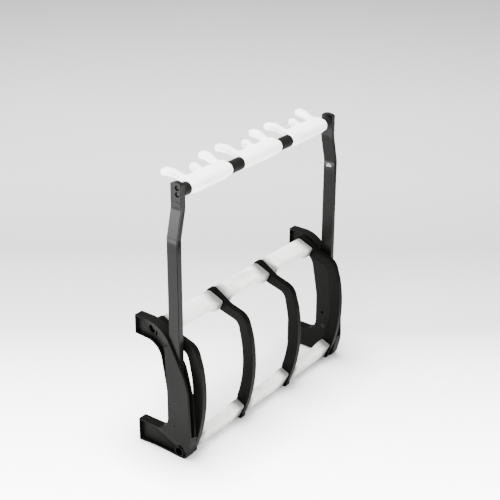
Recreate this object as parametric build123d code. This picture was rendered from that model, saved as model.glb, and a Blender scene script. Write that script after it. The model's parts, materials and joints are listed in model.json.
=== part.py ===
from build123d import *

import math
import os

# Folding three-bay floor rack for guitars, in its folded state, standing on the feet of its end plates.
# Every outline is drawn in the side view: local x is depth (row +Y), local y is height (row +Z).
# Lengths are in millimetres.

# Driving dimensions
WIDTH = 642.0
BAY = 190.0
DEPTH_CENTRE = 49.8

# End plate
PLATE_THICKNESS = 26.0
FACE_WALL = 5.4
CHANNEL_END = 19.8
CHANNEL_CLEARANCE = 0.6
SPINE_BACK = 45.5
TIP_DEPTH = 138.0
ARM_TOP = 342.0
ARM_BOTTOM = 294.0
FOOT_TOP = 59.5
ARCH_HALF_SPAN = 54.0
ARCH_HEIGHT = 3.2
RIM = 2.5
POCKET_CAP = 10.0
PAD_THICKNESS = 1.5

# Upright
PIVOT = (23.3, 83.0)
STRUT_WIDTH = 31.5
STRUT_OUTER = 6.2
STRUT_INNER = 19.0
STRUT_WALL = 1.8
JOGGLE = 16.8
JOGGLE_START = 560.0
JOGGLE_END = 630.0
STRUT_END = 633.0
STRUT_TOP = 690.0
GROOVE_WIDTH = 1.6
GROOVE_DEPTH = 1.0
STUD = (22.0, 547.5)
PIVOT_DIAMETER = 8.0
BUSH_DIAMETER = 12.0
RUNNING_FIT = 0.05

# Rails
FRONT_RAIL = (90.5, 317.5)
REAR_RAIL = (12.5, 15.5)
FRONT_LEAN = (-0.915, -0.403)
REAR_LEAN = (-0.403, 0.915)
RAIL_DIAMETER = 19.0
TUBE_WALL = 1.5
RAIL_GAP = 0.1
SLEEVE_RADIUS = 14.0
SLEEVE_LENGTH = 54.0
SLEEVE_RECESS = 8.0
BOLT_SEAT = 18.0
RECESS_DIAMETER = 21.0
BOSS_DIAMETER = 27.0
BOLT_DIAMETER = 6.0

# Ribs
RIB_THICKNESS = 16.0
FIRST_RIB = 36.0
BOW_ROUNDING = 3.5
EYE_CHAMFER = 1.2

# Neck rail
NECK_RAIL = (21.0, 668.0)
NECK_TUBE_DIAMETER = 22.0
NECK_SLEEVE_DIAMETER = 33.0
COLLAR_DIAMETER = 30.0
COLLAR_LENGTH = 22.0
PLUG_FLANGE = 3.0
PRONG_ROOT = 57.0
PRONG_TIP = 65.0
LONG_PRONG = 97.0
SHORT_PRONG = 70.0
PRONG_WIDTH = 19.0
PRONG_TAPER = 1.0
FITTING_SCREW_HEIGHTS = (677.6, 662.4)

os.makedirs("parts", exist_ok=True)


def side_prism(face, start, end):
    """Prism of a side-view face between two X stations."""
    return Pos(start, 0, 0) * extrude(Plane.YZ * face, end - start)


def rod(centre, diameter, start, end):
    """Cylinder along X round a side-view centre."""
    return side_prism(Pos(*centre) * Circle(diameter / 2), start, end)


def tube(centre, diameter, bore, start, end):
    return rod(centre, diameter, start, end) - rod(centre, bore, start - 1, end + 1)


def half_space(point, normal):
    """Large block that fills the side of a plane its normal points to."""
    return Plane(origin=point, z_dir=normal) * Pos(0, 0, 200) * Box(1200, 1200, 400)


def outline(points, radii):
    """Closed side-view face; the path between first and last point has rounded corners."""
    path = FilletPolyline(*points, radius=radii)
    return make_face(path + Line(path @ 1, path @ 0))


def save(part, node):
    export_step(Pos(0, -DEPTH_CENTRE, 0) * part, f"parts/{node}.step")


def save_left(part, node):
    """Save a piece drawn with X measured inward from the left plate's outer face."""
    save(Pos(-WIDTH / 2, 0, 0) * part, node)


def save_pair(part, name):
    """Save a left piece and its mirror image."""
    save_left(part, f"left_{name}")
    save(mirror(Pos(-WIDTH / 2, 0, 0) * part, about=Plane.YZ), f"right_{name}")


def both_ends(part):
    """A left piece together with its mirror image, in rack coordinates."""
    placed = Pos(-WIDTH / 2, 0, 0) * part
    return Compound(children=[placed, mirror(placed, about=Plane.YZ)])


# ---- End plates ------------------------------------------------------------------------------------
def plate_outline(inset, foot_inset):
    """C-shaped side view of the plate, optionally drawn smaller by a rim width."""
    tip = TIP_DEPTH - inset
    front = FilletPolyline(
        (tip, ARM_TOP - inset),
        (56 + inset / 2, ARM_TOP - inset),
        (-15.8 + inset, 204),
        (-23 + inset, 55),
        (-8.5 + inset, foot_inset),
        (tip, foot_inset),
        radius=[79, 157, 130, 14],
    )
    back = FilletPolyline(
        (tip, FOOT_TOP - inset),
        (SPINE_BACK - inset, FOOT_TOP - inset),
        (SPINE_BACK - inset, 172),
        (SPINE_BACK + 20 - inset, ARM_BOTTOM - 4.7 + inset),
        (tip, ARM_BOTTOM + inset),
        radius=[36, 150, 45],
    )
    top_end = Line(front @ 0, back @ 1)
    foot_end = Line(front @ 1, back @ 0)
    return make_face(front + top_end + back + foot_end)


def slot_shape(centre, lean, distance):
    """Locating slot beside a rail bolt, square to the sleeve's long axis."""
    angle = math.degrees(math.atan2(lean[1], lean[0]))
    middle = (centre[0] + lean[0] * distance, centre[1] + lean[1] * distance)
    slot = Pos(*middle) * Rot(0, 0, angle) * RectangleRounded(6, 14, 2)
    return side_prism(slot, -1, 14)


def rolled_edge(point, away, radius):
    """Space that rounds off the line where a sloped floor leaves the outer face.

    The floor falls away from the point in the side-view direction away, by its length per millimetre.
    """
    slope = math.hypot(*away)
    reach = radius * math.tan(math.atan(slope) / 2)
    step = Vector(0, away[0], away[1]) * (reach / slope)
    origin = Vector(0, point[0], point[1])
    strip = half_space(origin - step, step) & half_space(origin + step, -step)
    axis_plane = Plane(origin=origin - step + Vector(radius, 0, 0), z_dir=(0, -away[1], away[0]))
    return strip - axis_plane * Cylinder(radius, 1200)


def end_plate():
    plate = side_prism(plate_outline(0, 0), 0, PLATE_THICKNESS)
    arch_radius = (ARCH_HALF_SPAN**2 + ARCH_HEIGHT**2) / (2 * ARCH_HEIGHT)
    plate -= rod((75.5, ARCH_HEIGHT - arch_radius), 2 * arch_radius, -1, PLATE_THICKNESS + 1)
    plate = chamfer(plate.faces().filter_by(Plane.YZ).edges(), 0.8)

    # Channel for the upright: open to the front and at the top, closed below by the stop block
    end_radius = STRUT_WIDTH / 2 + CHANNEL_CLEARANCE
    back = PIVOT[0] + end_radius
    above_block = Polyline((-80, 57.1), (24.7, 66.6), PIVOT, (back, PIVOT[1]), (back, 400))
    channel = make_face(above_block + Polyline((back, 400), (-80, 400), (-80, 57.1)))
    channel += Pos(*PIVOT) * Circle(end_radius)
    plate -= side_prism(channel, FACE_WALL, CHANNEL_END)

    # The inner wall of the channel stands back from the outer one
    set_back = Polyline((-19.6, 59), (-19.6, 85), (-16.7, 150), (-8.2, 187), (4.9, 239), (back, 303))
    trim = make_face(set_back + Polyline((back, 303), (back, 400), (-80, 400), (-80, 59), (-19.6, 59)))
    plate -= side_prism(trim, CHANNEL_END - 1, PLATE_THICKNESS + 1)

    # Hollows in the outer face: sloped floors between thin rims
    inside = side_prism(plate_outline(RIM, RIM + 2.5), -1, POCKET_CAP)
    foot_floor = half_space((0, 74, 58), (-1, 0.16, -0.357)) + rolled_edge((74, 58), (0.16, -0.357), 60)
    foot_zone = Pos(0, 60, 0) * Box(60, 400, 2 * (FOOT_TOP - RIM))
    arm_floor = half_space((0, 0, 267.7), (-1, 0.1641, -0.1717))
    arm_floor += rolled_edge((0, 267.7), (0.1641, -0.1717), 60)
    arm_edge = Polyline((150, 400), (34, 400), (34, 298), (52, 284.5), (49, 273.8), (46.7, 200), (150, 200))
    arm_zone = side_prism(make_face(arm_edge + Line((150, 200), (150, 400))), -30, 30)
    boss = rod(REAR_RAIL, BOSS_DIAMETER, -1, PLATE_THICKNESS)
    plate -= (inside & foot_floor & foot_zone) - boss
    plate -= inside & arm_floor & arm_zone

    # Hollow in the inner face at the arm tip
    tip_hollow = Pos(122, 318) * RectangleRounded(27, 41, 3)
    plate -= side_prism(tip_hollow, PLATE_THICKNESS - 10, PLATE_THICKNESS + 1)

    for centre, lean, distance in ((FRONT_RAIL, FRONT_LEAN, 15.8), (REAR_RAIL, REAR_LEAN, 15.7)):
        plate -= rod(centre, RECESS_DIAMETER, -1, BOLT_SEAT)
        plate -= rod(centre, BOLT_DIAMETER + 0.2, 0, PLATE_THICKNESS + 1)
        plate -= slot_shape(centre, lean, distance)

    # Pivot bores and the small sight hole above the pivot in the inner wall
    plate -= rod(PIVOT, 5.1, -1, FACE_WALL + 1)
    plate -= rod(PIVOT, PIVOT_DIAMETER + 0.1, CHANNEL_END - 1, PLATE_THICKNESS + 1)
    plate -= rod(PIVOT, 14, PLATE_THICKNESS - 3.6, PLATE_THICKNESS + 1)
    plate -= rod((24.7, 124.4), 7.5, CHANNEL_END - 1, PLATE_THICKNESS + 1)
    return plate


def tip_pads():
    """Thin pads on the arm tip and the foot tip; the rack stands on them when it is open."""
    x_middle = PLATE_THICKNESS / 2
    depth = TIP_DEPTH + PAD_THICKNESS / 2
    arm_pad = Pos(x_middle, depth, 318) * Box(20, PAD_THICKNESS, 38)
    foot_pad = Pos(x_middle, depth, 30) * Box(20, PAD_THICKNESS, 46)
    arm_pad = fillet(arm_pad.edges().filter_by(Axis.Y), 4)
    foot_pad = fillet(foot_pad.edges().filter_by(Axis.Y), 4)
    return arm_pad, foot_pad


save_pair(end_plate(), "end_plate")
arm_pad, foot_pad = tip_pads()
save_pair(arm_pad, "arm_tip_pad")
save_pair(foot_pad, "foot_tip_pad")


# ---- Rails and sleeves -----------------------------------------------------------------------------
def teardrop(centre, lean, length):
    """Sleeve section: round end about the rail axis, blunt end on the side it leans to."""
    reach = length - SLEEVE_RADIUS
    half = SLEEVE_RADIUS
    block = outline(
        [(0, half), (reach, half + 0.5), (reach, -half - 0.5), (0, -half)],
        [5, 5],
    )
    angle = math.degrees(math.atan2(lean[1], lean[0]))
    return Pos(*centre) * Rot(0, 0, angle) * (block + Circle(half))


def sleeve(centre, lean, start, end):
    """Soft sleeve whose blunt end draws back between the ribs."""
    body = side_prism(teardrop(centre, lean, SLEEVE_LENGTH), start, end)
    reach = SLEEVE_LENGTH - SLEEVE_RADIUS
    across = Vector(0, -lean[1], lean[0])
    along = Vector(0, lean[0], lean[1])
    waist_plane = Plane(origin=(0, centre[0], centre[1]), x_dir=(1, 0, 0), z_dir=Vector(1, 0, 0).cross(along))
    waist = outline(
        [
            (start + 10, reach + 5),
            (start + 20, reach),
            (start + 44, reach - SLEEVE_RECESS),
            (end - 44, reach - SLEEVE_RECESS),
            (end - 20, reach),
            (end - 10, reach + 5),
        ],
        [12, 30, 30, 12],
    )
    cutter = extrude(waist_plane * waist, 20, both=True)
    body -= cutter
    return body - rod(centre, RAIL_DIAMETER + 2 * RUNNING_FIT, start - 1, end + 1)


def rail_plug(centre):
    plug = rod(centre, RAIL_DIAMETER - 2 * TUBE_WALL - 0.1, 26.2, 50)
    plug += rod(centre, RAIL_DIAMETER, 26.05, 27.5)
    return plug - rod(centre, BOLT_DIAMETER + 0.1, 26, 51)


def rail_bolt(centre):
    head = rod(centre, 12.5, BOLT_SEAT - 4, BOLT_SEAT)
    head = fillet(head.faces().sort_by(Axis.X)[0].edges(), 1.2)
    bolt = head + rod(centre, BOLT_DIAMETER, BOLT_SEAT, 45)
    socket = side_prism(Pos(*centre) * RegularPolygon(2.9, 6), BOLT_SEAT - 5, BOLT_SEAT - 1.8)
    return bolt - socket


for rail_name, centre, lean in (("front", FRONT_RAIL, FRONT_LEAN), ("rear", REAR_RAIL, REAR_LEAN)):
    rail = tube(centre, RAIL_DIAMETER, RAIL_DIAMETER - 2 * TUBE_WALL, 27.6, WIDTH - 27.6)
    save_left(rail, f"{rail_name}_rail_tube")
    save(both_ends(rail_plug(centre)), f"{rail_name}_rail_plugs")
    for index, side in enumerate(("left", "middle", "right")):
        start = FIRST_RIB + BAY * index + RIB_THICKNESS / 2 + RAIL_GAP
        end = start + BAY - RIB_THICKNESS - 2 * RAIL_GAP
        save_left(sleeve(centre, lean, start, end), f"{rail_name}_sleeve_{side}")

rail_bolts = [both_ends(rail_bolt(centre)) for centre in (FRONT_RAIL, REAR_RAIL)]
save(Compound(children=rail_bolts), "rail_bolts")


# ---- Ribs ------------------------------------------------------------------------------------------
def on_outer_bow(edge):
    """True for the edges of a rib that face away from the instruments."""
    centre = edge.center()
    return centre.Y < -14 or (centre.Y < -3 and centre.Z < 15) or (centre.Z > 295 and centre.Y < 70)


def rib():
    outer_top = FilletPolyline(
        (76.7, 334.3),
        (36, 309.1),
        (-17.5, 293.5),
        (-32.6, 243),
        radius=[60, 37],
    )
    outer_bow = ThreePointArc((-32.6, 243), (-39.9, 170), (-8.4, 17))
    outer_foot = FilletPolyline((-8.4, 17), (-5.8, 1), (12.5, 1), radius=[7])
    inner_foot = Polyline((12.5, 1), (12.5, 15.5), (9.6, 57), (7.4, 68.2))
    inner_bow = ThreePointArc((7.4, 68.2), (-9.2, 158), (-1.6, 239.4))
    inner_top = FilletPolyline((-1.6, 239.4), (5.2, 272.5), (59, 287.3), (90.5, 317.5), radius=[23, 2])
    closing = Line((90.5, 317.5), (76.7, 334.3))
    band = make_face(outer_top + outer_bow + outer_foot + inner_foot + inner_bow + inner_top + closing)
    eyes = teardrop(FRONT_RAIL, FRONT_LEAN, SLEEVE_LENGTH) + teardrop(REAR_RAIL, REAR_LEAN, SLEEVE_LENGTH)
    shape = band + eyes + Pos(87.2, 322) * Circle(15.6)
    body = side_prism(shape, -RIB_THICKNESS / 2, RIB_THICKNESS / 2)
    edges = body.faces().filter_by(Plane.YZ).edges()
    body = chamfer([edge for edge in edges if not on_outer_bow(edge)], EYE_CHAMFER)
    edges = body.faces().filter_by(Plane.YZ).edges()
    body = fillet([edge for edge in edges if on_outer_bow(edge)], BOW_ROUNDING)
    for centre in (FRONT_RAIL, REAR_RAIL):
        body -= rod(centre, RAIL_DIAMETER + 2 * RUNNING_FIT, -10, 10)
    return body


rib_body = rib()
for index, node in enumerate(("left_end_rib", "left_middle_rib", "right_middle_rib", "right_end_rib")):
    save_left(Pos(FIRST_RIB + BAY * index, 0, 0) * rib_body, node)


# ---- Uprights --------------------------------------------------------------------------------------
def joggled(outer, inner, half_width, bottom, top):
    """Strip that steps inward between the two joggle heights, given in side view depth."""
    profile = FilletPolyline(
        (outer, bottom),
        (outer, JOGGLE_START),
        (outer + JOGGLE, JOGGLE_END),
        (outer + JOGGLE, top),
        radius=[40, 40],
    )
    other = FilletPolyline(
        (inner, bottom),
        (inner, JOGGLE_START),
        (inner + JOGGLE, JOGGLE_END),
        (inner + JOGGLE, top),
        radius=[40, 40],
    )
    face = make_face(profile + Line(profile @ 0, other @ 0) + other + Line(profile @ 1, other @ 1))
    return Pos(0, PIVOT[0] + half_width, 0) * extrude(Plane.XZ * face, 2 * half_width)


def strut_outline(half_width, bottom_radius):
    """Side-view envelope of the upright: rounded lower end, slightly crowned top."""
    top = ThreePointArc(
        (PIVOT[0] - half_width, STRUT_TOP - 3),
        (PIVOT[0], STRUT_TOP),
        (PIVOT[0] + half_width, STRUT_TOP - 3),
    )
    bottom = ThreePointArc(
        (PIVOT[0] - half_width, PIVOT[1]),
        (PIVOT[0], PIVOT[1] - bottom_radius),
        (PIVOT[0] + half_width, PIVOT[1]),
    )
    sides = Line(top @ 0, bottom @ 0) + Line(top @ 1, bottom @ 1)
    return side_prism(make_face(top + bottom + sides), 0, 60)


def edge_groove():
    """Shallow line that runs up the outer face beside its -Y edge."""
    line = joggled(STRUT_OUTER - 2, STRUT_OUTER + GROOVE_DEPTH, GROOVE_WIDTH / 2, 50, STRUT_TOP + 5)
    return Pos(0, 2 - STRUT_WIDTH / 2, 0) * line


def tube_end(gap):
    """Side-view envelope of the metal tube, whose upper end is an arc."""
    half = STRUT_WIDTH / 2 + 1
    radius = 17 + gap
    top = Pos(PIVOT[0], STRUT_END - 17) * Circle(radius)
    lower = Pos(PIVOT[0], (STRUT_END - 17) / 2) * Rectangle(2 * half, STRUT_END - 17)
    return side_prism(top + lower, 0, 60)


def upright():
    half = STRUT_WIDTH / 2
    body = joggled(STRUT_OUTER, STRUT_INNER, half, 60, STRUT_TOP + 5)
    body = body & strut_outline(half, half)
    body -= joggled(STRUT_OUTER + STRUT_WALL, STRUT_INNER - STRUT_WALL, half - STRUT_WALL, 50, STRUT_TOP + 9)
    body &= tube_end(0)
    body -= edge_groove()
    body -= rod(PIVOT, BUSH_DIAMETER + 0.1, 0, 60)
    return body - rod(STUD, 5.1, STRUT_INNER - 4, STRUT_INNER + 4)


def lower_end_plug():
    """Block inside the lower end of the upright that carries the pivot bush."""
    half = STRUT_WIDTH / 2 - STRUT_WALL - RUNNING_FIT
    inner = joggled(STRUT_OUTER + STRUT_WALL + 0.05, STRUT_INNER - STRUT_WALL - 0.05, half, 60, STRUT_TOP)
    body = inner & strut_outline(half, STRUT_WIDTH / 2)
    body &= Pos(0, 0, 60) * Box(400, 400, 110)
    return body - rod(PIVOT, BUSH_DIAMETER + 0.1, 0, 60)


def top_fitting():
    """Moulded end of the upright: flush outside, with a tongue inside the tube."""
    half = STRUT_WIDTH / 2
    outer = STRUT_OUTER + JOGGLE
    inner = STRUT_INNER + JOGGLE
    body = joggled(STRUT_OUTER, STRUT_INNER, half, 60, STRUT_TOP + 5) & strut_outline(half, half)
    body -= tube_end(0.05)
    body = chamfer(body.edges().filter_by(Axis.X).sort_by(Axis.Z)[-2:], 1.5)
    body -= edge_groove()
    tongue = joggled(
        STRUT_OUTER + STRUT_WALL + 0.05,
        STRUT_INNER - STRUT_WALL - 0.05,
        half - STRUT_WALL - 0.05,
        60,
        STRUT_TOP,
    )
    body += tongue & Pos(0, 0, 626) * Box(400, 400, 28)
    # Arched line above the joint, on the outer face only
    arch = tube((PIVOT[0], 624.25), 44.7, 42.3, outer - 1, outer + 0.8)
    body -= arch & Pos(0, 0, 664) * Box(400, 400, 60)
    for height in FITTING_SCREW_HEIGHTS:
        centre = (NECK_RAIL[0] - 1, height)
        body -= rod(centre, 12, outer - 1, outer + 5)
        body -= rod(centre, 3.6, outer - 1, inner + 1)
    return body


def fitting_screw(height):
    centre = (NECK_RAIL[0] - 1, height)
    seat = STRUT_OUTER + JOGGLE + 5
    head = rod(centre, 7, seat - 2.6, seat)
    head = fillet(head.faces().sort_by(Axis.X)[0].edges(), 1)
    screw = head + rod(centre, 3.4, seat, STRUT_INNER + JOGGLE + PLUG_FLANGE)
    recess = side_prism(Pos(*centre) * (Rectangle(4, 1) + Rectangle(1, 4)), seat - 4, seat - 1.4)
    return screw - recess


def pivot_bolt():
    head_seat = PLATE_THICKNESS - 3.6
    head = rod(PIVOT, 13, head_seat, head_seat + 3)
    head = fillet(head.faces().sort_by(Axis.X)[-1].edges(), 0.8)
    bolt = head + rod(PIVOT, PIVOT_DIAMETER, FACE_WALL + 0.1, head_seat)
    bolt += rod(PIVOT, 5, 1.4, FACE_WALL + 0.1)
    socket = side_prism(Pos(*PIVOT) * RegularPolygon(3, 6), head_seat + 1, head_seat + 4)
    return bolt - socket


def pivot_washers():
    bore = PIVOT_DIAMETER + 0.1
    outer_washer = tube(PIVOT, 20, bore, FACE_WALL + 0.02, STRUT_OUTER - 0.08)
    inner_washer = tube(PIVOT, 20, bore, STRUT_INNER + 0.08, CHANNEL_END - 0.02)
    return Compound(children=[outer_washer, inner_washer])


def bumper_stud():
    """Button with a flat lower side, pressed into the inner face of the upright."""
    dee = Pos(*STUD) * Circle(7.2) - Pos(STUD[0], STUD[1] - 7.4) * Rectangle(20, 9)
    button = side_prism(dee, STRUT_INNER + 0.02, STRUT_INNER + 4.5)
    button = fillet(button.faces().sort_by(Axis.X)[-1].edges(), 2)
    return button + rod(STUD, 5, STRUT_INNER - STRUT_WALL - 1, STRUT_INNER + 1)


save_pair(upright(), "upright")
save_pair(lower_end_plug(), "upright_end_plug")
save_pair(top_fitting(), "top_fitting")
save_pair(bumper_stud(), "bumper_stud")
save_pair(pivot_bolt(), "pivot_bolt")
save_pair(pivot_washers(), "pivot_washers")
bush = tube(PIVOT, BUSH_DIAMETER, PIVOT_DIAMETER + 2 * RUNNING_FIT, STRUT_OUTER, STRUT_INNER)
save_pair(bush, "pivot_bush")
fitting_screws = [both_ends(fitting_screw(height)) for height in FITTING_SCREW_HEIGHTS]
save(Compound(children=fitting_screws), "top_fitting_screws")


# ---- Neck rail -------------------------------------------------------------------------------------
def prong(base, tip, reach):
    """One prong: a side view that rises toward its tip, narrowed to a rounded tongue."""
    middle = (44 + reach) / 2
    under = [(20, 674), (44, 675), (middle, 679), (reach - 7, 681.5), (reach, 685.5)]
    over = [(reach - 2, 691.5), (reach - 9, 694.5), (middle, 692), (44, 687.5), (20, 686)]
    side = Spline(*under) + Line(under[-1], over[0]) + Spline(*over) + Line(over[-1], under[0])
    half = PRONG_WIDTH / 2
    blade = side_prism(make_face(side), min(base, tip) - 2 * half, max(base, tip) + 2 * half)
    plan = outline(
        [
            (base - half, 15),
            (base - half, 42),
            (tip - half + PRONG_TAPER, reach + 1),
            (tip + half - PRONG_TAPER, reach + 1),
            (base + half, 42),
            (base + half, 15),
        ],
        [30, half * 0.8, half * 0.8, 30],
    )
    return blade & extrude(Pos(0, 0, 640) * plan, 80)


def neck_rest(start):
    """Soft sleeve with a web strip and three prongs; the outer prongs are the long ones."""
    middle = start + BAY / 2
    first = start + COLLAR_LENGTH + RAIL_GAP
    last = start + BAY - COLLAR_LENGTH - RAIL_GAP
    body = rod(NECK_RAIL, NECK_SLEEVE_DIAMETER, first, last)
    web = Pos((first + last) / 2, 34, 680.5) * Box(last - first, 26, 12)
    web = fillet(web.edges().filter_by(Axis.X).sort_by(Axis.Y)[-2:], 5)
    body += web
    for side in (-1, 1):
        body += prong(middle + side * PRONG_ROOT, middle + side * PRONG_TIP, LONG_PRONG)
    body += prong(middle, middle, SHORT_PRONG)
    return body - rod(NECK_RAIL, NECK_TUBE_DIAMETER + 2 * RUNNING_FIT, first - 1, last + 1)


def neck_collar(start, end):
    collar = rod(NECK_RAIL, COLLAR_DIAMETER, start, end)
    collar = fillet(collar.edges().filter_by(GeomType.CIRCLE), 1.5)
    return collar - rod(NECK_RAIL, NECK_TUBE_DIAMETER + 2 * RUNNING_FIT, start - 1, end + 1)


def neck_plug():
    """Plug that closes the neck tube and takes the two fitting screws."""
    start = STRUT_INNER + JOGGLE + 0.05
    plug = rod(NECK_RAIL, COLLAR_DIAMETER - 0.4, start, start + PLUG_FLANGE)
    plug += rod(NECK_RAIL, NECK_TUBE_DIAMETER - 2 * TUBE_WALL - 0.1, start, start + 24)
    for height in FITTING_SCREW_HEIGHTS:
        plug -= rod((NECK_RAIL[0] - 1, height), 3.5, start - 1, start + 25)
    return plug


neck_start = STRUT_INNER + JOGGLE + PLUG_FLANGE + 0.1
bore = NECK_TUBE_DIAMETER - 2 * TUBE_WALL
save_left(tube(NECK_RAIL, NECK_TUBE_DIAMETER, bore, neck_start, WIDTH - neck_start), "neck_rail_tube")
save(both_ends(neck_plug()), "neck_rail_plugs")
for index, side in enumerate(("left", "middle", "right")):
    start = FIRST_RIB + BAY * index
    end = start + BAY
    save_left(neck_rest(start), f"neck_rest_{side}")
    save_left(neck_collar(max(start, neck_start), start + COLLAR_LENGTH), f"neck_collar_{side}_a")
    save_left(neck_collar(end - COLLAR_LENGTH, min(end, WIDTH - neck_start)), f"neck_collar_{side}_b")
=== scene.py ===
import json
import math

import bmesh
import bpy
from mathutils import Matrix, Vector


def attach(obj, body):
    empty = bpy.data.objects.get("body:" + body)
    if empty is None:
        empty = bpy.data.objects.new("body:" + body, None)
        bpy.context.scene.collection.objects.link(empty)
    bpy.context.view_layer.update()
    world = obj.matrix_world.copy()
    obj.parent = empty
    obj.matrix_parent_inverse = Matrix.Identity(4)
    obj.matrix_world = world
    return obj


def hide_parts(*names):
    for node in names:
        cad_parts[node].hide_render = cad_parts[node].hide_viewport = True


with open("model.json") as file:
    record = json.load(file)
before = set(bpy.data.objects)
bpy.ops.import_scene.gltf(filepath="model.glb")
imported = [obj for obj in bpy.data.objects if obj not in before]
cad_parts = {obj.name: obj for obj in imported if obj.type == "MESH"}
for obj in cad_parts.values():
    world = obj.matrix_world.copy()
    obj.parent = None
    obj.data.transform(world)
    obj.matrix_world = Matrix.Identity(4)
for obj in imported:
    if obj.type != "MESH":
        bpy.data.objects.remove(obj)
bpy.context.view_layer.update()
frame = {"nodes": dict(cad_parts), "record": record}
nodes = frame["nodes"]

# Side-view coordinates are (depth, height) in millimetres, as in the part's source; X runs from the left
# plate's outer face. to_row() turns them into the row frame in metres.
MM = 0.001
HALF_WIDTH = 321.0
DEPTH_CENTRE = 49.8
BAY = 190.0
BAY_NAMES = ("left", "middle", "right")
FIRST_RIB = 36.0
RIB_HALF = 8.0
FRONT_RAIL = (90.5, 317.5)
REAR_RAIL = (12.5, 15.5)
NECK_RAIL = (21.0, 668.0)
COLLAR_LENGTH = 22.0


def to_row(x, depth, height):
    return Vector(((x - HALF_WIDTH) * MM, (depth - DEPTH_CENTRE) * MM, height * MM))


def smoothstep(t):
    t = min(max(t, 0.0), 1.0)
    return t * t * (3 - 2 * t)


# ---- Materials -------------------------------------------------------------------------------------
# Most of a noise signal's values lie between these two.
NOISE_LOW = 0.3
NOISE_HIGH = 0.7

# Heights of the uprights' bend and of the start of the coat's longer highlight below it, and how far the
# coat's normals lean there.
HIGHLIGHT_START = 522.0
BEND_START = 555.3
BEND_END = 564.7
HIGHLIGHT_LEAN = 0.24

# A sleeve's painted grey shade, standing in for the shade beside the ribs, fades between these two
# distances from a rib's middle. The waver, times a noise, is added to the distance first.
SHADE_START = 34.0
SHADE_END = 58.0
SHADE_WAVER = 30.0


class Material:
    """Principled material, with the node signals that drive its colour, roughness and bump."""

    def __init__(self, name, **sockets):
        self.material = bpy.data.materials.new(name)
        self.material.use_nodes = True
        self.tree = self.material.node_tree
        self.shader = self.tree.nodes["Principled BSDF"]
        self.coordinates = self.node("TexCoord").outputs["Object"]
        for socket, value in sockets.items():
            self.shader.inputs[socket.replace("_", " ")].default_value = value

    def node(self, kind, **settings):
        made = self.tree.nodes.new("ShaderNode" + kind)
        for setting, value in settings.items():
            setattr(made, setting, value)
        return made

    def link(self, source, target):
        self.tree.links.new(source, target)

    def noise(self, scale, detail=3.0, roughness=0.55, stretch=(1, 1, 1)):
        mapping = self.node("Mapping")
        mapping.inputs["Scale"].default_value = stretch
        self.link(self.coordinates, mapping.inputs["Vector"])
        texture = self.node("TexNoise")
        texture.inputs["Scale"].default_value = scale
        texture.inputs["Detail"].default_value = detail
        texture.inputs["Roughness"].default_value = roughness
        self.link(mapping.outputs["Vector"], texture.inputs["Vector"])
        return texture.outputs["Fac"]

    def ramp(self, factor, stops):
        """Colour signal from (position, colour) stops."""
        ramp = self.node("ValToRGB")
        elements = ramp.color_ramp.elements
        while len(elements) < len(stops):
            elements.new(0.5)
        for element, (position, colour) in zip(elements, stops):
            element.position = position
            element.color = (*colour, 1)
        self.link(factor, ramp.inputs["Fac"])
        return ramp.outputs["Color"]

    def remap(self, factor, low, high, from_low=NOISE_LOW, from_high=NOISE_HIGH):
        mapped = self.node("MapRange")
        mapped.inputs["From Min"].default_value = from_low
        mapped.inputs["From Max"].default_value = from_high
        mapped.inputs["To Min"].default_value = low
        mapped.inputs["To Max"].default_value = high
        self.link(factor, mapped.inputs["Value"])
        return mapped.outputs["Result"]

    def maths(self, operation, *values):
        """Result of a maths node; each value is a number or a signal."""
        made = self.node("Math", operation=operation)
        for socket, value in zip(made.inputs, values):
            if isinstance(value, (int, float)):
                socket.default_value = value
            else:
                self.link(value, socket)
        return made.outputs[0]

    def axis(self, vector, name):
        split = self.node("SeparateXYZ")
        self.link(vector, split.inputs["Vector"])
        return split.outputs[name]

    def leaning_normal(self, low, bend_start, bend_end, lean):
        """Normals that lean upward ahead of a bend and hand over to the bend's own slope inside it."""
        height = self.axis(self.coordinates, "Z")
        rise = self.remap(height, 0.0, 1.0, low, bend_start)
        fall = self.remap(height, 1.0, 0.0, bend_start, bend_end)
        upward = self.node("VectorTransform", convert_from="OBJECT", convert_to="WORLD")
        upward.vector_type = "VECTOR"
        upward.inputs["Vector"].default_value = (0, 0, lean)
        scaled = self.node("VectorMath", operation="SCALE")
        self.link(upward.outputs["Vector"], scaled.inputs[0])
        self.link(self.maths("MULTIPLY", rise, fall), scaled.inputs["Scale"])
        total = self.node("VectorMath", operation="ADD")
        self.link(self.node("NewGeometry").outputs["Normal"], total.inputs[0])
        self.link(scaled.outputs["Vector"], total.inputs[1])
        unit = self.node("VectorMath", operation="NORMALIZE")
        self.link(total.outputs["Vector"], unit.inputs[0])
        return unit.outputs["Vector"]

    def bump(self, heights, strength, distance, normal=None):
        """Bump from the sum of several height signals, each (signal, weight)."""
        total = 0.0
        for signal, weight in heights:
            total = self.maths("MULTIPLY_ADD", signal, weight, total)
        bump = self.node("Bump")
        bump.inputs["Strength"].default_value = strength
        bump.inputs["Distance"].default_value = distance
        self.link(total, bump.inputs["Height"])
        if normal is not None:
            self.link(normal, bump.inputs["Normal"])
        self.link(bump.outputs["Normal"], self.shader.inputs["Normal"])

    def colour(self, output):
        self.link(output, self.shader.inputs["Base Color"])

    def cloudy_colour(self, signal, dark, light):
        self.colour(self.ramp(signal, [(NOISE_LOW, dark), (NOISE_HIGH, light)]))

    def roughness(self, output):
        self.link(output, self.shader.inputs["Roughness"])


def grey(level):
    return (level, level, level)


def grained_plastic(name, dark, light, roughness, grain, specular=0.5):
    """Moulded plastic: faint cloudy tone, fine spark-eroded grain, slight waviness."""
    m = Material(name, Specular_IOR_Level=specular)
    m.cloudy_colour(m.noise(14, 4), dark, light)
    m.roughness(m.remap(m.noise(60, 3), *roughness))
    m.bump([(m.noise(grain, 2, 0.7), 1.0), (m.noise(26, 2), 1.6)], strength=0.16, distance=0.0002)
    return m.material


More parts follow.
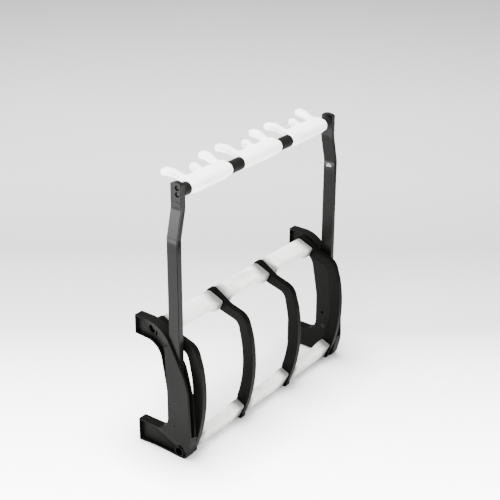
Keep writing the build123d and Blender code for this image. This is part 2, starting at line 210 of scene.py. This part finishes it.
def coated_metal(name, dark, light, roughness):
    """Satin powder coat with a faint orange peel; its highlight starts below the uprights' bend."""
    m = Material(name, Specular_IOR_Level=0.05)
    m.cloudy_colour(m.noise(9, 4), dark, light)
    m.roughness(m.remap(m.noise(90, 3), *roughness))
    rounded_bend = m.leaning_normal(HIGHLIGHT_START * MM, BEND_START * MM, BEND_END * MM, HIGHLIGHT_LEAN)
    m.bump([(m.noise(700, 2, 0.6), 1.0)], strength=0.01, distance=0.0002, normal=rounded_bend)
    return m.material


def painted_shade_mask(m):
    """Mask of the painted shade beside the ribs: 1 beside a divider rib and 0 a few centimetres from it,
    with a wavering edge.
    """
    from_first_rib = m.maths("ADD", m.axis(m.coordinates, "X"), (HALF_WIDTH - FIRST_RIB) * MM)
    from_nearest_rib = m.maths("PINGPONG", from_first_rib, BAY * MM / 2)
    wavering = m.maths("MULTIPLY_ADD", m.noise(30, 3), SHADE_WAVER * MM, from_nearest_rib)
    return m.remap(wavering, 1.0, 0.0, SHADE_START * MM, SHADE_END * MM)


def milky_foam(name, dull, clear, painted_rib_shade=None):
    """Milky soft plastic in a cloud of two tones, which turns to a third, a painted shade, near the ribs if
    there is one.
    """
    m = Material(
        name,
        Specular_IOR_Level=0.3,
        IOR=1.42,
        Subsurface_Weight=0.35,
        Subsurface_Radius=(1.0, 0.95, 0.9),
        Subsurface_Scale=0.008,
    )
    tone = m.ramp(m.noise(26, 4, 0.6, stretch=(0.5, 1, 1)), [(0.36, dull), (0.62, clear)])
    if painted_rib_shade is not None:
        # painted shade beside the ribs, mixed into the sleeve's tone
        mix = m.node("Mix", data_type="RGBA")
        m.link(painted_shade_mask(m), mix.inputs["Factor"])
        m.link(tone, mix.inputs["A"])
        mix.inputs["B"].default_value = (*painted_rib_shade, 1)
        tone = mix.outputs["Result"]
    m.colour(tone)
    m.roughness(m.remap(m.noise(80, 3), 0.34, 0.5))
    m.bump([(m.noise(900, 2, 0.6), 1.0), (m.noise(45, 3), 2.0)], strength=0.15, distance=0.0002)
    return m.material


def plated_steel(name, dark, light, roughness):
    m = Material(name, Metallic=1.0)
    brushed = m.noise(60, 4, 0.6, stretch=(0.5, 14, 14))
    m.cloudy_colour(brushed, dark, light)
    m.roughness(m.remap(brushed, *roughness))
    m.bump([(brushed, 1.0)], strength=0.1, distance=0.0001)
    return m.material


MATERIALS = {
    "plate": grained_plastic(
        "plate_plastic", (0.0025, 0.0026, 0.0023), (0.0034, 0.0035, 0.0032), (0.42, 0.5), 1400, 0.032
    ),
    "rib": grained_plastic(
        "rib_plastic", (0.0018, 0.0018, 0.0016), (0.0026, 0.0026, 0.0023), (0.34, 0.42), 1600, 0.02
    ),
    "fitting": grained_plastic(
        "fitting_plastic", (0.0040, 0.0041, 0.004), (0.0052, 0.0054, 0.0052), (0.28, 0.32), 1500, 0.08
    ),
    "collar": grained_plastic(
        "collar_rubber", (0.0038, 0.0042, 0.0036), (0.005, 0.0055, 0.0048), (0.46, 0.6), 1100, 0.06
    ),
    "pad": grained_plastic("pad_rubber", grey(0.004), grey(0.006), (0.6, 0.75), 900, 0.06),
    "plug": grained_plastic("plug_plastic", grey(0.005), grey(0.007), (0.45, 0.6), 900, 0.08),
    "stud": grained_plastic("stud_rubber", (0.15, 0.15, 0.145), (0.2, 0.2, 0.19), (0.4, 0.5), 900),
    "washer": grained_plastic("washer_plastic", (0.7, 0.7, 0.68), (0.78, 0.78, 0.76), (0.4, 0.55), 900),
    "bush": grained_plastic("bush_plastic", (0.68, 0.68, 0.66), (0.76, 0.76, 0.74), (0.4, 0.55), 900),
    "fastener": grained_plastic("black_oxide", grey(0.004), grey(0.006), (0.3, 0.36), 900, 0.12),
    "upright": coated_metal(
        "upright_coat", (0.0026, 0.0027, 0.0025), (0.0034, 0.0035, 0.0032), (0.28, 0.29)
    ),
    "sleeve": milky_foam(
        "sleeve_foam", (0.58, 0.575, 0.55), (0.80, 0.80, 0.78), painted_rib_shade=(0.12, 0.118, 0.113)
    ),
    "neck_rest": milky_foam("neck_rest_foam", (0.84, 0.84, 0.815), (0.95, 0.95, 0.93)),
    "rail": plated_steel("rail_steel", (0.62, 0.62, 0.63), (0.78, 0.78, 0.79), (0.25, 0.37)),
    "screw": plated_steel("screw_steel", grey(0.018), grey(0.026), (0.2, 0.32)),
}

for entry in frame["record"]["subparts"]:
    mesh = nodes[entry["node"]].data
    mesh.materials.clear()
    mesh.materials.append(MATERIALS[entry["material_slot"]])


# ---- Mesh helpers ----------------------------------------------------------------------------------
def add_skin(node, mesh, body, slot):
    """Smooth-shaded piece shown in place of a CAD node."""
    skin = bpy.data.objects.new(f"{node}_skin", mesh)
    bpy.context.scene.collection.objects.link(skin)
    skin.data.materials.append(MATERIALS[slot])
    for polygon in skin.data.polygons:
        polygon.use_smooth = True
    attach(skin, body)
    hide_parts(node)
    return skin


def new_mesh(name, build):
    mesh = bpy.data.meshes.new(name)
    build.to_mesh(mesh)
    build.free()
    return mesh


def join(build, row, following):
    """Band of faces between two rows of vertices of equal length."""
    for i in range(len(row)):
        j = (i + 1) % len(row)
        build.faces.new((row[i], row[j], following[j], following[i]))


def stitch(build, rings):
    """Joins each ring of points to the next, and returns the rings' vertices."""
    rows = [[build.verts.new(point) for point in ring] for ring in rings]
    for row, following in zip(rows, rows[1:]):
        join(build, row, following)
    return rows


def capped_tube(build, rings):
    """Tube through rings of points, closed with a face at both ends."""
    rows = stitch(build, rings)
    build.faces.new(rows[0][::-1])
    build.faces.new(rows[-1])


def loft(name, rings):
    """Closed surface through a loop of rings: the last one joins the first."""
    build = bmesh.new()
    rows = stitch(build, rings)
    join(build, rows[-1], rows[0])
    bmesh.ops.recalc_face_normals(build, faces=build.faces)
    return new_mesh(name, build)


def circle_angles(sides):
    return [2 * math.pi * i / sides for i in range(sides)]


# ---- Rail sleeves ----------------------------------------------------------------------------------
# Section: a round end about the rail, and a blunt end on the side it leans to.
FRONT_LEAN = (-0.915, -0.403)
REAR_LEAN = (-0.403, 0.915)
SLEEVE_LENGTH = 54.0
SLEEVE_RADIUS = 14.0
BLUNT_HALF = 14.5
BLUNT_CORNER = 5.0
SLEEVE_BORE_RADIUS = 9.6
FLANK_STEPS = 9

# Along the rail: the blunt end draws back past DRAW_START from a rib, and the end edges are rounded.
SLEEVE_GAP = 0.1
DRAW_START = 14.0
DRAW_RUN = 30.0
DRAW_LENGTH = 8.5
DRAW_HALF = 1.2
EDGE_RUN = 2.2
EDGE_LENGTH = 1.0
EDGE_INSET = 0.8


def arc(centre, radius, start, end, steps):
    angles = [math.radians(start + (end - start) * i / steps) for i in range(steps + 1)]
    return [(centre[0] + radius * math.cos(a), centre[1] + radius * math.sin(a)) for a in angles]


def teardrop(length, radius, blunt_half):
    """Section points (along, across): round end about the origin, blunt end at the far side."""
    reach = length - SLEEVE_RADIUS
    corner = (reach - BLUNT_CORNER, blunt_half - BLUNT_CORNER)
    widening = blunt_half - radius
    flank = [
        (reach * i / FLANK_STEPS, radius + widening * i / FLANK_STEPS) for i in range(1, FLANK_STEPS - 1)
    ]
    points = arc((0, 0), radius, 90, 270, steps=20)
    points += [(along, -across) for along, across in flank]
    points += arc((corner[0], -corner[1]), BLUNT_CORNER, 270, 360, steps=6)
    points += arc(corner, BLUNT_CORNER, 0, 90, steps=6)
    points += flank[::-1]
    return points


def sleeve_mesh(name, centre, lean, start, end, steps=44):
    """Hollow soft sleeve: full section near the ribs, drawn back in between, with rounded end edges."""

    def place(x, along, across):
        depth = centre[0] + along * lean[0] - across * lean[1]
        height = centre[1] + along * lean[1] + across * lean[0]
        return to_row(x, depth, height)

    outer, inner = [], []
    for i in range(steps + 1):
        # stations crowd toward the two ends, where the shape changes
        t = 0.5 - 0.5 * math.cos(math.pi * i / steps)
        x = start + (end - start) * t
        distance = min(x - start, end - x)
        drawn = smoothstep((distance - DRAW_START) / DRAW_RUN)
        edge = 1 - smoothstep(distance / EDGE_RUN)
        section = teardrop(
            SLEEVE_LENGTH - DRAW_LENGTH * drawn - EDGE_LENGTH * edge,
            SLEEVE_RADIUS - EDGE_INSET * edge,
            BLUNT_HALF - DRAW_HALF * drawn - EDGE_INSET * edge,
        )
        angles = [math.atan2(across, along) for along, across in section]
        bore = [(SLEEVE_BORE_RADIUS * math.cos(a), SLEEVE_BORE_RADIUS * math.sin(a)) for a in angles]
        outer.append([place(x, along, across) for along, across in section])
        inner.append([place(x, along, across) for along, across in bore])
    return loft(name, outer + inner[::-1])


for rail, centre, lean in (("front", FRONT_RAIL, FRONT_LEAN), ("rear", REAR_RAIL, REAR_LEAN)):
    for index, side in enumerate(BAY_NAMES):
        start = FIRST_RIB + BAY * index + RIB_HALF + SLEEVE_GAP
        end = start + BAY - 2 * RIB_HALF - 2 * SLEEVE_GAP
        name = f"{rail}_sleeve_{side}"
        piece = add_skin(name, sleeve_mesh(name, centre, lean, start, end), "base", "sleeve")


# ---- Neck rests ------------------------------------------------------------------------------------
# X is from the middle of a rest here, and depth and height are as in the side view. The gap is between a
# rest's end and the collar beside it.
REST_GAP = 0.6
ROD_RADIUS = 15.2
ROD_SWELL = 2.0
ROD_SAG = 1.0
ROD_SWELL_RUN = 26.0
WEB_PLACE = (33.0, 680.0)
WEB_INSET = 1.5
WEB_HALF_DEPTH = 13.0
WEB_HALF_THICK = 6.0

# Prongs: X at the root and tip of the outer ones, depth of the tips, and full widths.
PRONG_ROOT = 57.0
PRONG_TIP = 65.0
LONG_PRONG = 97.0
SHORT_PRONG = 70.0
LONG_PRONG_WIDTH = 25.0
SHORT_PRONG_WIDTH = 22.0

# Prongs in side view: starts and runs are depths.
PRONG_START = 22.0
PRONG_HEIGHT = 679.5
PRONG_RISE = 8.5
RISE_START = 38.0
RISE_RUN = 38.0
SLOPE_ANGLE = 16.0
SLOPE_START = 36.0
SLOPE_RUN = 44.0
TIP_RUN = 7.0
PRONG_HALF_THICK = 6.8
THICK_SWELL = 1.7
WIDE_SWELL = 2.5

# Prongs along their length, as shares of it, and at the tip, as shares of the full width and thickness.
# BLUNT_LEAST ends the rounding a little short of the tip.
SPREAD_START = 0.15
SWELL_START = 0.4
SWELL_RUN = 0.35
TIP_WIDE = 0.35
TIP_THICK = 0.45
BLUNT_LEAST = 0.02

OVAL_SIDES = 20
OVAL_POWER = 0.7
FUSE_VOXEL = 1.5


def squarish(value):
    """Pulls a sine or cosine away from 0, which makes an ellipse a flatter, squarish oval."""
    return math.copysign(abs(value) ** OVAL_POWER, value)


def sweep(build, spine, sections):
    """Capped tube of squarish ovals; each section is its two half axes, (width, thickness) vectors."""
    rings = []
    for point, (wide, thick) in zip(spine, sections):
        angles = circle_angles(OVAL_SIDES)
        rings.append([point + wide * squarish(math.cos(a)) + thick * squarish(math.sin(a)) for a in angles])
    capped_tube(build, rings)


def prong(build, root, tip, width, reach, steps=26):
    """Flat prong that leaves over the rail, rises and ends in a rounded tip."""
    spine, sections = [], []
    for i in range(steps + 1):
        t = i / steps
        depth = PRONG_START + (reach - PRONG_START) * t
        height = PRONG_HEIGHT + PRONG_RISE * smoothstep((depth - RISE_START) / RISE_RUN)
        x = root + (tip - root) * smoothstep((t - SPREAD_START) / (1 - SPREAD_START))
        # the last few millimetres round off in plan and in thickness
        remaining = min((reach - depth) / TIP_RUN, 1)
        blunt = math.sqrt(max(BLUNT_LEAST, 1 - (1 - remaining) ** 2))
        swell = smoothstep((t - SWELL_START) / SWELL_RUN)
        half_wide = (width / 2 - WIDE_SWELL + WIDE_SWELL * swell) * (TIP_WIDE + (1 - TIP_WIDE) * blunt)
        half_thick = (PRONG_HALF_THICK + THICK_SWELL * swell) * (TIP_THICK + (1 - TIP_THICK) * blunt)
        along_slope = min(max((depth - SLOPE_START) / SLOPE_RUN, 0), 1)
        slope = math.radians(SLOPE_ANGLE * math.sin(math.pi * along_slope))
        wide = Vector((half_wide, 0, 0))
        thick = Vector((0, -half_thick * math.sin(slope), half_thick * math.cos(slope)))
        spine.append(Vector((x, depth, height)))
        sections.append((wide, thick))
    sweep(build, spine, sections)


def swelling_rod(build, half_length, stations=24, sides=48):
    """Rod round the neck rail that swells a little between its two ends, mostly downward."""
    rings = []
    for i in range(stations + 1):
        x = half_length * (i / (stations / 2) - 1)
        swell = smoothstep((half_length - abs(x)) / ROD_SWELL_RUN)
        radius = ROD_RADIUS + ROD_SWELL * swell
        depth, height = NECK_RAIL[0], NECK_RAIL[1] - ROD_SAG * swell
        angles = circle_angles(sides)
        rings.append([(x, depth + radius * math.cos(a), height + radius * math.sin(a)) for a in angles])
    capped_tube(build, rings)


def web(build, half_length):
    """Flat strip along the rest, from which the prongs leave."""
    half_axes = (Vector((0, WEB_HALF_DEPTH, 0)), Vector((0, 0, WEB_HALF_THICK)))
    spine = [Vector((x, *WEB_PLACE)) for x in (WEB_INSET - half_length, half_length - WEB_INSET)]
    sweep(build, spine, [half_axes] * 2)


def fused(name, mesh):
    """The mesh with its overlapping bodies merged into one skin and smoothed."""
    rough = bpy.data.objects.new(name + "_rough", mesh)
    bpy.context.scene.collection.objects.link(rough)
    remesh = rough.modifiers.new("remesh", "REMESH")
    remesh.mode = "VOXEL"
    remesh.voxel_size = FUSE_VOXEL
    smooth = rough.modifiers.new("smooth", "SMOOTH")
    smooth.factor = 0.5
    smooth.iterations = 6
    bpy.context.view_layer.update()
    evaluated = rough.evaluated_get(bpy.context.evaluated_depsgraph_get())
    skin = bpy.data.meshes.new_from_object(evaluated)
    bpy.data.objects.remove(rough)
    return skin


def neck_rest_mesh(name):
    """One rest of rod, web and prongs, centred on X 0."""
    half_length = BAY / 2 - COLLAR_LENGTH - REST_GAP
    build = bmesh.new()
    swelling_rod(build, half_length)
    web(build, half_length)
    for side in (-1, 1):
        prong(build, side * PRONG_ROOT, side * PRONG_TIP, LONG_PRONG_WIDTH, LONG_PRONG)
    prong(build, 0, 0, SHORT_PRONG_WIDTH, SHORT_PRONG)
    return fused(name, new_mesh(name, build))


rest_mesh = neck_rest_mesh("neck_rest")
for index, side in enumerate(BAY_NAMES):
    middle = FIRST_RIB + BAY * (index + 0.5)
    placed = rest_mesh.copy()
    for vertex in placed.vertices:
        vertex.co = to_row(vertex.co.x + middle, vertex.co.y, vertex.co.z)
    piece = add_skin(f"neck_rest_{side}", placed, "upright_frame", "neck_rest")


# ---- Floor, camera and light -----------------------------------------------------------------------
VIEW_DIRECTION = Vector((0.7231, 0.5453, -0.4240)).normalized()
VIEW_RIGHT = Vector((0.602, -0.7985, 0.0052)).normalized()
CAMERA_PLACE = to_row(-1807.6, -1558.2, 1661.4)
LENS = 87.09

# The floor, in metres. Its greys and its glow change along the view between the two GRADIENT distances from
# the rack's middle, and their stops are shares of the way.
FLOOR_HALF = 40.0
GRADIENT = (-0.7, 2.3)
GREYS = ((0.0, 0.93), (0.3, 0.76), (0.54, 0.46), (0.75, 0.60), (1.0, 0.68))
GLOW = 7.5
GLOW_STOP = 0.36

# GLOW_CUT is taken off the glow inside the first distances from the rack's middle, and nothing past the
# second; this paints a soft shadow under the rack. The glow is painted light, and it ends at the second
# distance of GLOW_FADE.
COVERED_X = (0.31, 0.45)
COVERED_Y = (0.07, 0.24)
GLOW_CUT = 0.9
GLOW_FADE = (1.2, 4.5)


def floor_glow(m):
    """Emission strength of the floor's painted light: full round the rack, low under it as a painted
    shadow, and gone a few metres away.
    """
    spot = m.node("NewGeometry").outputs["Position"]
    beside = m.remap(m.maths("ABSOLUTE", m.axis(spot, "X")), 1.0, 0.0, *COVERED_X)
    ahead = m.remap(m.maths("ABSOLUTE", m.axis(spot, "Y")), 1.0, 0.0, *COVERED_Y)
    painted_shadow = m.maths("MULTIPLY", m.maths("MULTIPLY", beside, ahead), GLOW_CUT)
    distance = m.node("VectorMath", operation="LENGTH")
    m.link(spot, distance.inputs[0])
    fade = m.remap(distance.outputs["Value"], 1.0, 0.0, *GLOW_FADE)
    return m.maths("MULTIPLY", m.maths("SUBTRACT", 1.0, painted_shadow), fade)


def floor_material():
    """Near white in front of the rack from a painted glow, with a light grey band behind it and a painted
    soft shadow below it.
    """
    m = Material("pale_floor", Specular_IOR_Level=0.1)
    cloud = m.maths("MULTIPLY_ADD", m.noise(0.8, 2), 0.04, m.axis(m.coordinates, "Y"))
    away = m.remap(cloud, 0.0, 1.0, *GRADIENT)
    m.colour(m.ramp(away, [(stop, (level, level, level * 0.995)) for stop, level in GREYS]))
    # painted light: the floor glows in front of the rack, though it is no lamp
    glow = m.ramp(away, [(0.0, grey(GLOW)), (GLOW_STOP, grey(0.0))])
    m.link(glow, m.shader.inputs["Emission Color"])
    m.link(floor_glow(m), m.shader.inputs["Emission Strength"])
    m.roughness(m.remap(m.noise(30, 2), 0.55, 0.65))
    return m.material


def floor_mesh(half):
    mesh = bpy.data.meshes.new("floor")
    corners = [(-half, -half, 0), (half, -half, 0), (half, half, 0), (-half, half, 0)]
    mesh.from_pydata(corners, [], [(0, 1, 2, 3)])
    return mesh


floor = bpy.data.objects.new("floor", floor_mesh(FLOOR_HALF))
floor.rotation_euler.z = math.atan2(-VIEW_DIRECTION.x, VIEW_DIRECTION.y)
floor.data.materials.append(floor_material())
bpy.context.scene.collection.objects.link(floor)

camera_data = bpy.data.cameras.new("camera")
camera_data.sensor_width = 36.0
camera_data.lens = LENS
camera = bpy.data.objects.new("camera", camera_data)
bpy.context.scene.collection.objects.link(camera)
up = VIEW_RIGHT.cross(VIEW_DIRECTION).normalized()
right = VIEW_DIRECTION.cross(up).normalized()
rotation = Matrix((right, up, -VIEW_DIRECTION)).transposed()
camera.matrix_world = Matrix.Translation(CAMERA_PLACE) @ rotation.to_4x4()
bpy.context.scene.camera = camera

world = bpy.data.worlds.new("studio")
world.use_nodes = True
background = world.node_tree.nodes["Background"]
background.inputs["Color"].default_value = (0.93, 0.94, 0.95, 1)
background.inputs["Strength"].default_value = 0.5
bpy.context.scene.world = world


def area_light(name, location, target, size, power):
    data = bpy.data.lights.new(name, "AREA")
    data.shape = "DISK"
    data.size = size
    data.energy = power
    light = bpy.data.objects.new(name, data)
    light.location = location
    light.rotation_mode = "QUATERNION"
    light.rotation_quaternion = (Vector(target) - Vector(location)).to_track_quat("-Z", "Y")
    bpy.context.scene.collection.objects.link(light)


area_light("key", (-2.2, -1.0, 3.2), target=(0, 0, 0.3), size=1.8, power=110)
area_light("fill", (1.8, -3.0, 2.0), target=(0, 0, 0.3), size=2.2, power=50)
area_light("side", (-2.9, 1.9, 0.75), target=(-0.3, 0, 0.6), size=0.8, power=205)
area_light("top", (0.0, 0.4, 4.2), target=(0, 0, 0.2), size=2.4, power=700)
